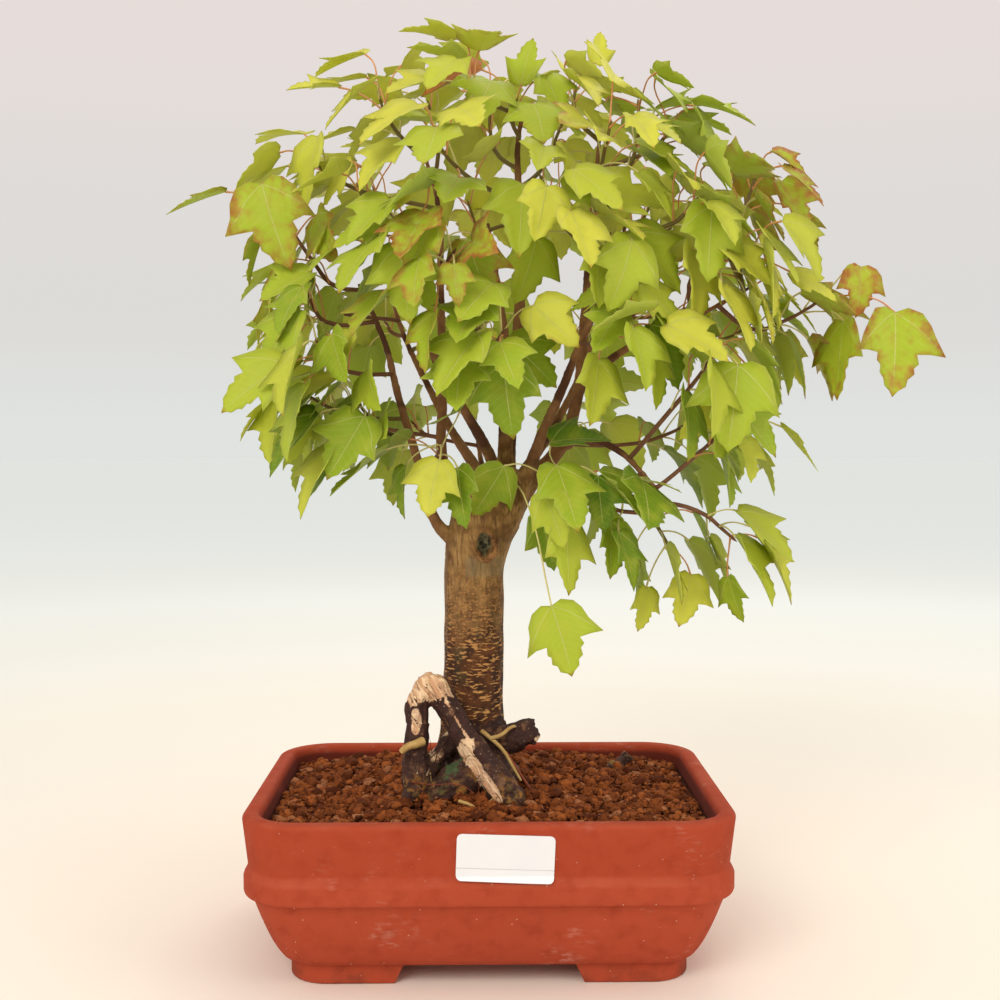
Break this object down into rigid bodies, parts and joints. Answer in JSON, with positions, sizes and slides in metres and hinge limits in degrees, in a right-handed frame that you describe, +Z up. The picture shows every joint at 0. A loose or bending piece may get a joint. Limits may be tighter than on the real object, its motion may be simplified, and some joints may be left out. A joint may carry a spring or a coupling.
{
  "type": "bonsai tree in a pot",
  "caption": "Small trident maple with a stout trunk, looped surface roots and a domed crown of three-lobed leaves, growing in granular soil in a low rectangular footed clay pot.",
  "frame": {"origin": "middle of the whole object's footprint box, on the surface that the pot's feet stand on", "axes": "+Z up along the trunk, +X to the right along the pot's long side, -Y towards the front with the label"},
  "size_m": [0.4018, 0.2602, 0.4971],
  "materials": {
    "clay": "unglazed matt fired clay, scuffed",
    "soil": "dry granular baked clay",
    "bark": "rough bark with pale dashes",
    "leaf": "thin satin leaf, veined, lets light through",
    "label": "smooth white paper",
    "plastic_mesh": "moulded net",
    "wire": "soft drawn wire"
  },
  "bodies": {
    "root": {"pot": "clay", "soil": "soil", "wood": "bark", "label": "label", "drain_mesh_left": "plastic_mesh", "mesh_clip_left": "wire", "drain_mesh_right": "plastic_mesh", "mesh_clip_right": "wire", "shoot_bronze_tip": "leaf", "shoot_crown_top": "leaf", "shoot_fork_front": "leaf", "shoot_fork_left": "leaf", "shoot_front_bronze": "leaf", "shoot_front_centre": "leaf", "shoot_front_centre_high": "leaf", "shoot_front_left_high": "leaf", "shoot_front_right": "leaf", "shoot_front_right_high": "leaf", "shoot_hanging_leaf": "leaf", "shoot_high_back": "leaf", "shoot_high_back_left": "leaf", "shoot_high_front": "leaf", "shoot_high_left": "leaf", "shoot_high_left_back": "leaf", "shoot_high_left_front": "leaf", "shoot_high_right": "leaf", "shoot_high_right_back": "leaf", "shoot_high_right_front": "leaf", "shoot_left_flank": "leaf", "shoot_left_hem": "leaf", "shoot_left_skirt": "leaf", "shoot_long_left": "leaf", "shoot_long_right": "leaf", "shoot_low_back_left": "leaf", "shoot_low_back_right": "leaf", "shoot_low_left_back": "leaf", "shoot_low_right": "leaf", "shoot_low_right_back": "leaf", "shoot_low_right_inner": "leaf", "shoot_low_right_tip": "leaf", "shoot_mid_left_front": "leaf", "shoot_mid_right_front": "leaf", "shoot_right_face": "leaf", "shoot_right_face_high": "leaf", "shoot_right_flank": "leaf", "shoot_right_shoulder": "leaf", "shoot_side_back": "leaf", "shoot_side_back_left": "leaf", "shoot_side_back_right": "leaf", "shoot_side_left_back": "leaf", "shoot_side_right": "leaf", "shoot_side_right_back": "leaf", "shoot_top_back": "leaf", "shoot_top_front": "leaf", "shoot_top_left": "leaf", "shoot_top_left_back": "leaf", "shoot_top_right": "leaf", "shoot_top_right_back": "leaf", "shoot_under_right": "leaf", "shoot_upper_right_tip": "leaf"}
  },
  "joints": []
}
